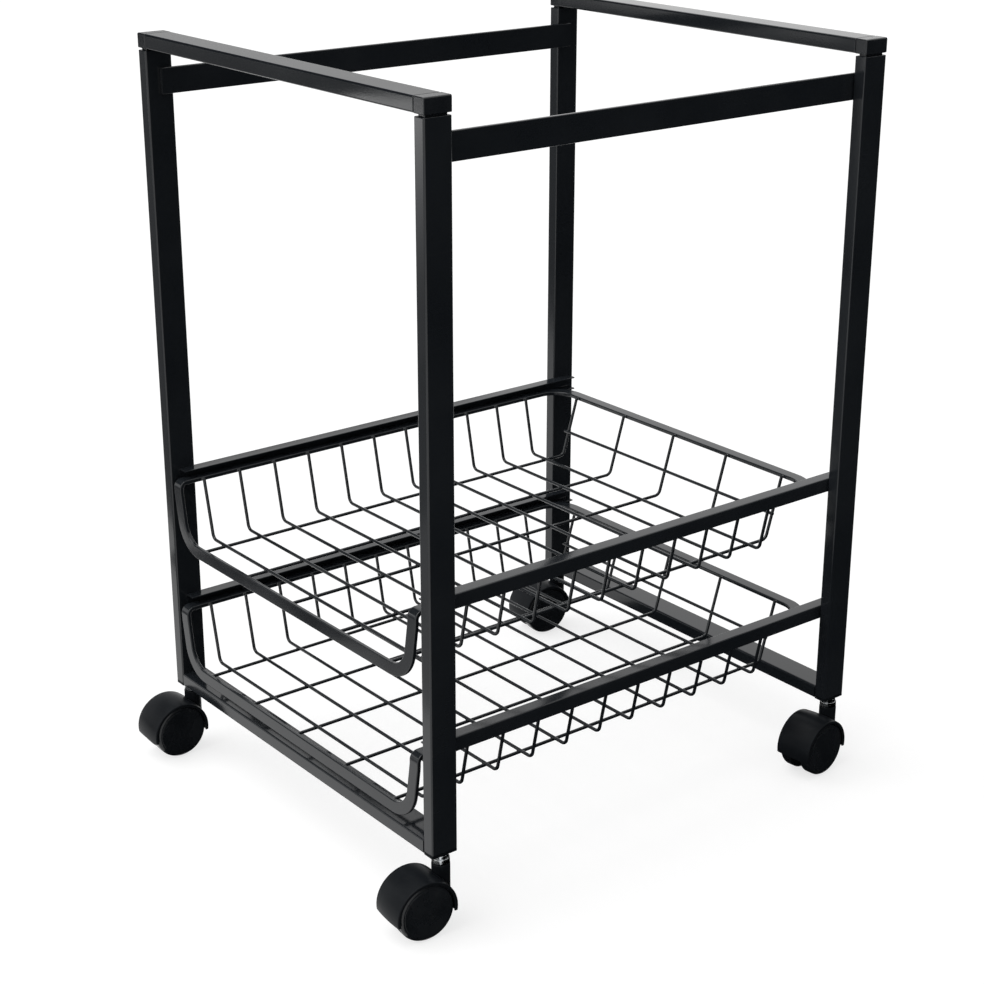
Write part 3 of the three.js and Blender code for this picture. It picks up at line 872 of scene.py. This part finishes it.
def neck_skin(corner):
    """A round neck whose foot lies in the middle of the band. Each point of the foot stands over the axle
    by the root of the band's middle radius squared less its distance behind squared. Behind the band it
    runs down to the lip."""
    across, forward, axle, stem = casters[corner]
    top = box_of(f"hood_{corner}")[1][2]
    rim = arc((neck_radius - neck_edge, top - neck_edge), neck_edge, 0, 90)
    radii = np.concatenate([np.linspace(0, neck_radius, neck_rings), rim[:, 0], [0]])
    angle = np.linspace(0, 2 * np.pi, stem_steps, endpoint=False)[:, None]
    spoke = np.cos(angle) * across + np.sin(angle) * forward
    points = stem + radii[:, None, None] * spoke
    behind = (axle - points[:neck_rings]) @ forward
    middle = (well_radius + hood_radius) / 2
    over = axle[2] + np.sqrt(np.clip(middle**2 - behind**2, 0, None))
    points[:neck_rings, :, 2] = np.where(behind > middle, hood_lip, over)
    points[neck_rings:-1, :, 2] = rim[:, 1:]
    points[-1, :, 2] = top
    return grid_skin(points, capped=False)


for corner in corners:
    skin = joined([hood_skin(corner), neck_skin(corner)])
    piece(f"moulded_hood_{corner}", skin, [f"hood_{corner}"], caster_plastic)
print("hoods:", len(corners))

# %% [markdown]
# ## Stems
# A zinc-plated pin with a collar holds each caster in its post, and only the bright collar shows. Such a
# pin comes off a lathe, so it is made as a lathe makes it: one profile turned about its axis.

# %% Stems
pin_radius = 2.65 * millimetre
pin_edge = 0.6 * millimetre
collar_radius = 6.0 * millimetre
collar_height = 3.7 * millimetre
shoulder_radius = 5.2 * millimetre
shoulder_height = 2.4 * millimetre
socket_gap = 0.5 * millimetre
collar_edge = 0.5 * millimetre


def stem_skin(corner):
    """A turned pin with a bright collar and a shoulder, every edge broken by a small round."""
    low, high = box_of(f"stem_{corner}")
    across, _, _, stem = casters[corner]
    shoulder_top = stem[2] - socket_gap
    collar_top = shoulder_top - shoulder_height
    collar_foot = collar_top - collar_height
    collar_inner = collar_radius - collar_edge
    profile = np.vstack(
        [
            [(0, low[2]), (pin_radius, low[2]), (pin_radius, collar_foot)],
            arc((collar_inner, collar_foot + collar_edge), collar_edge, -90, 0),
            arc((collar_inner, collar_top - collar_edge), collar_edge, 0, 90),
            [(shoulder_radius, collar_top)],
            arc((shoulder_radius - collar_edge, shoulder_top - collar_edge), collar_edge, 0, 90),
            [(pin_radius, shoulder_top), (pin_radius, high[2] - pin_edge)],
            [(pin_radius - pin_edge, high[2]), (0, high[2])],
        ]
    )
    return turned(profile, [stem[0], stem[1], 0], upright, across, stem_steps)


for corner in corners:
    piece(f"turned_stem_{corner}", stem_skin(corner), [f"stem_{corner}"], zinc_plate)
print("stems:", len(corners))

# %% [markdown]
# ## Wheels
# The wheels are smooth mouldings with a round shoulder, a low step and a slightly domed cap. A bevelled
# cylinder would miss the dome and the step, which catch the light, so they are turned from a profile too.

# %% Wheels
wheel_radius = casters[corners[0]][2][2]
wheel_inner = 4.6 * millimetre
wheel_outer = 13.8 * millimetre
wheel_dome = 0.4 * millimetre
wheel_steps = 96
shoulder_round = 3.0 * millimetre
shoulder_steps = 10
inner_round = 1.0 * millimetre
step_round = 0.25 * millimetre
bore_radius = 2.85 * millimetre
bore_cover = 2.4 * millimetre
dome_steps = 16


def wheel_skin(corner, hand):
    """A wheel's profile turned about its axle: a blind bore, a tread with a round shoulder, a low step,
    and a face that domes with one minus the square of the distance from its middle."""
    across, forward, axle, _ = casters[corner]
    bore_end = wheel_outer - bore_cover
    face = wheel_radius - shoulder_round
    inside = wheel_radius - inner_round
    step_top = wheel_outer + step_round
    cap = face - 1.5 * step_round
    out = np.linspace(1, 0, dome_steps)[1:]
    dome = np.stack([cap * out, step_top + (wheel_dome - step_round) * (1 - out**2)], axis=-1)
    profile = np.vstack(
        [
            [(0, bore_end), (bore_radius, bore_end), (bore_radius, wheel_inner)],
            arc((inside, wheel_inner + inner_round), inner_round, -90, 0),
            arc((face, wheel_outer - shoulder_round), shoulder_round, 0, 90, shoulder_steps),
            arc((cap, wheel_outer), step_round, 0, 90),
            dome,
        ]
    )
    return turned(profile, axle, hand * across, forward, wheel_steps)


for corner in corners:
    for side, hand in zip(sides, hands):
        node = f"wheel_{side}_{corner}"
        piece(f"turned_{node}", wheel_skin(corner, hand), [node], wheel_plastic)
print("wheels:", len(sides) * len(corners))

# %% [markdown]
# ## What stays as it is
# The sockets in the posts' feet and the axles inside the wheels are simple forms that hardly show. They
# could be turned too, but nothing would be gained, so the solids stay and only take on their finishes.

# %% Plain solids
for corner in corners:
    for node, material in [(f"socket_{corner}", caster_plastic), (f"axle_{corner}", zinc_plate)]:
        frame["nodes"][node].data.materials.clear()
        frame["nodes"][node].data.materials.append(material)
print("plain solids:", 2 * len(corners))

# %% [markdown]
# ## Studio floor
# The cart stands on a white floor, as in a shop's picture. More light would make the floor white, but it
# would wash out the cart. So the floor adds a little glow of its own to what the camera and reflections
# see, and it stays white and still keeps a faint shadow.

# %% Floor
floor_reach = 12.0
floor_grey = 0.36
floor_glow = 0.72


def plain_sheet(name, low, high, material):
    """One flat rectangle of the stage between two opposite corners, which share one coordinate."""
    low, high = np.array(low, float), np.array(high, float)
    points = np.tile(low, (4, 1))
    first, second = np.flatnonzero(high > low)
    points[[1, 2], first] = high[first]
    points[[2, 3], second] = high[second]
    mesh = bpy.data.meshes.new(name)
    mesh.from_pydata(points.tolist(), [], [[0, 1, 2, 3]])
    mesh.materials.append(material)
    sheet = bpy.data.objects.new(name, mesh)
    scene.collection.objects.link(sheet)
    return sheet


def bare_material(name):
    """A material with nothing but its output. Gives it, its node tree and the output's surface socket."""
    material = bpy.data.materials.new(name)
    material.use_nodes = True
    tree = material.node_tree
    tree.nodes.clear()
    return material, tree, tree.nodes.new("ShaderNodeOutputMaterial").inputs["Surface"]


def seen_directly(tree):
    """One where a camera, glossy or transmission ray looks, and nothing elsewhere."""
    path = tree.nodes.new("ShaderNodeLightPath")
    first = tree.nodes.new("ShaderNodeMath")
    first.operation = "MAXIMUM"
    second = tree.nodes.new("ShaderNodeMath")
    second.operation = "MAXIMUM"
    tree.links.new(path.outputs["Is Camera Ray"], first.inputs[0])
    tree.links.new(path.outputs["Is Glossy Ray"], first.inputs[1])
    tree.links.new(first.outputs["Value"], second.inputs[0])
    tree.links.new(path.outputs["Is Transmission Ray"], second.inputs[1])
    return second.outputs["Value"]


def floor_material():
    """A pale diffuse floor, plus a white glow that only direct looks see."""
    material, tree, surface = bare_material("white_floor")
    diffuse = tree.nodes.new("ShaderNodeBsdfDiffuse")
    diffuse.inputs["Color"].default_value = (floor_grey, floor_grey, floor_grey, 1)
    glow = tree.nodes.new("ShaderNodeEmission")
    strength = tree.nodes.new("ShaderNodeMath")
    strength.operation = "MULTIPLY"
    strength.inputs[1].default_value = floor_glow
    both = tree.nodes.new("ShaderNodeAddShader")
    tree.links.new(seen_directly(tree), strength.inputs[0])
    tree.links.new(strength.outputs["Value"], glow.inputs["Strength"])
    tree.links.new(diffuse.outputs["BSDF"], both.inputs[0])
    tree.links.new(glow.outputs["Emission"], both.inputs[1])
    tree.links.new(both.outputs["Shader"], surface)
    return material


floor_corners = [(-floor_reach, -floor_reach, 0), (floor_reach, floor_reach, 0)]
floor = plain_sheet("floor", *floor_corners, floor_material())
print(floor.name, "reaches", floor_reach, "m")

# %% [markdown]
# ## Flags and cards
# Gloss black is only as dark as what it mirrors. A darker paint wouldn't help, so a photographer sets
# black flags and grey or white cards round such a piece, and so does this scene. Black flags on the
# right, on the left and under the cart keep the sides black. Grey ones on the floor in front shade the
# front faces and the pull. A card in front, which fades downwards, lights the top of the nearest post, and
# a grey card far behind dims the upper face of the front bar. Only reflections see them.

# %% Flags and cards
fade_power = 2.8
flags = {
    "flag_right": ((0.5, -0.2, 0.002), (0.5, 2.8, 0.9), 0.0),
    "flag_right_foot": ((0.175, -0.205, 0.002), (0.5, 2.8, 0.002), 0.0),
    "flag_under": ((-0.15, -0.2, 0.002), (0.175, 1.0, 0.002), 0.0),
    "flag_left": ((-0.8, -1.4, 0.45), (-0.8, 0.05, 1.6), 0.0),
    "flag_front": ((-4.0, -2.6, 0.002), (-0.42, -0.4, 0.002), 0.2),
    "flag_front_edge": ((-0.5, -0.75, 0.001), (-0.08, -0.355, 0.001), 0.48),
    "flag_pull": ((-0.5, -0.46, 0.0015), (-0.24, -0.345, 0.0015), 0.12),
    "card_rear": ((-2.5, 0.6, 0.6), (-2.5, 1.95, 1.25), 0.6),
}
card_front = ((-0.43, -0.72, 0.16), (-0.43, -0.52, 0.42))
card_front_glow = (0.33, 3.2)


def even_glow(name, brightness):
    """A glow of one brightness."""
    material, tree, surface = bare_material(name)
    glow = tree.nodes.new("ShaderNodeEmission")
    glow.inputs["Strength"].default_value = brightness
    tree.links.new(glow.outputs["Emission"], surface)
    return material


def fading_glow(name, foot, top, dim, bright):
    """A glow that grows from dim at a card's foot to bright at its top with a power of the height."""
    material, tree, surface = bare_material(name)
    place = tree.nodes.new("ShaderNodeTexCoord")
    height = tree.nodes.new("ShaderNodeSeparateXYZ")
    share = tree.nodes.new("ShaderNodeMapRange")
    share.inputs["From Min"].default_value = foot
    share.inputs["From Max"].default_value = top
    curve = tree.nodes.new("ShaderNodeMath")
    curve.operation = "POWER"
    curve.inputs[1].default_value = fade_power
    level = tree.nodes.new("ShaderNodeMapRange")
    level.inputs["To Min"].default_value = dim
    level.inputs["To Max"].default_value = bright
    glow = tree.nodes.new("ShaderNodeEmission")
    tree.links.new(place.outputs["Object"], height.inputs["Vector"])
    tree.links.new(height.outputs["Z"], share.inputs["Value"])
    tree.links.new(share.outputs["Result"], curve.inputs[0])
    tree.links.new(curve.outputs["Value"], level.inputs["Value"])
    tree.links.new(level.outputs["Result"], glow.inputs["Strength"])
    tree.links.new(glow.outputs["Emission"], surface)
    return material


def mirrored_sheet(low, high, material):
    """A sheet that only reflections see."""
    sheet = plain_sheet(material.name, low, high, material)
    sheet.visible_camera = False
    sheet.visible_diffuse = False
    sheet.visible_shadow = False
    sheet.visible_transmission = False


for name, (low, high, brightness) in flags.items():
    mirrored_sheet(low, high, even_glow(name, brightness))
foot, top = card_front[0][2], card_front[1][2]
mirrored_sheet(*card_front, fading_glow("card_front", foot, top, *card_front_glow))
print("flags and cards:", len(flags) + 1)

# %% [markdown]
# ## Light
# The light is even, as under a large tent. Area lamps would fall off across the floor, so a broad sun
# gives every part of it the same light with soft shadows, and the world fills in. Direct looks see the
# world as white.

# %% Light
white = (1, 1, 1, 1)
fill_strength = 0.5
sun_strength = 1.9
sun_breadth = np.radians(60)
sun_turn = np.radians([28, -18, 0])

world = bpy.data.worlds.new("studio")
world.use_nodes = True
scene.world = world
tree = world.node_tree
tree.nodes.clear()
fill = tree.nodes.new("ShaderNodeBackground")
fill.inputs["Color"].default_value = white
fill.inputs["Strength"].default_value = fill_strength
backdrop = tree.nodes.new("ShaderNodeBackground")
backdrop.inputs["Color"].default_value = white
backdrop.inputs["Strength"].default_value = 1.0
mix = tree.nodes.new("ShaderNodeMixShader")
sky = tree.nodes.new("ShaderNodeOutputWorld")
tree.links.new(seen_directly(tree), mix.inputs["Fac"])
tree.links.new(fill.outputs["Background"], mix.inputs[1])
tree.links.new(backdrop.outputs["Background"], mix.inputs[2])
tree.links.new(mix.outputs["Shader"], sky.inputs["Surface"])

sun_data = bpy.data.lights.new("broad_sun", "SUN")
sun_data.energy = sun_strength
sun_data.angle = sun_breadth
sun = bpy.data.objects.new("broad_sun", sun_data)
sun.rotation_euler = sun_turn
scene.collection.objects.link(sun)
scene.view_settings.view_transform = "Standard"
print("sun strength", sun_data.energy, "fill", fill_strength)

# %% [markdown]
# ## Camera
# The camera looks down on the cart from the front right. Placing it by eye would never quite fit, so its
# place was found by matching the corners of the end frames: a heading, a tilt, a distance and two small
# moves to the side and upwards. It has no shift.

# %% Camera
heading = np.radians(52.01)
tilt = np.radians(20.81)
sideways, upwards, distance = -11.6, -78.8, 1422.2
image_pixels = 984
focal_pixels = 2000
sensor_width = 36

back = np.array([np.sin(heading) * np.cos(tilt), -np.cos(heading) * np.cos(tilt), np.sin(tilt)])
right = np.array([np.cos(heading), np.sin(heading), 0])
up = np.cross(back, right)
post_low = box_of("post_front_left")[0]
post_high = box_of("post_rear_right")[1]
frame_middle = (post_low + post_high) / 2
frame_middle[2] = box_of("bottom_bar_front")[0][2] / 2 + cad_box[1][2] / 2
place = frame_middle + (sideways * right + upwards * up + distance * back) * millimetre
camera_data = bpy.data.cameras.new("camera")
camera_data.sensor_width = sensor_width
camera_data.lens = sensor_width * focal_pixels / image_pixels
camera_data.clip_end = 100
camera = bpy.data.objects.new("camera", camera_data)
turn = np.eye(4)
turn[:3] = np.stack([right, up, back, place], axis=1)
camera.matrix_world = Matrix(turn.tolist())
scene.collection.objects.link(camera)
scene.camera = camera
print("camera at", np.round(place, 3).tolist(), "lens", round(camera_data.lens, 2), "mm")
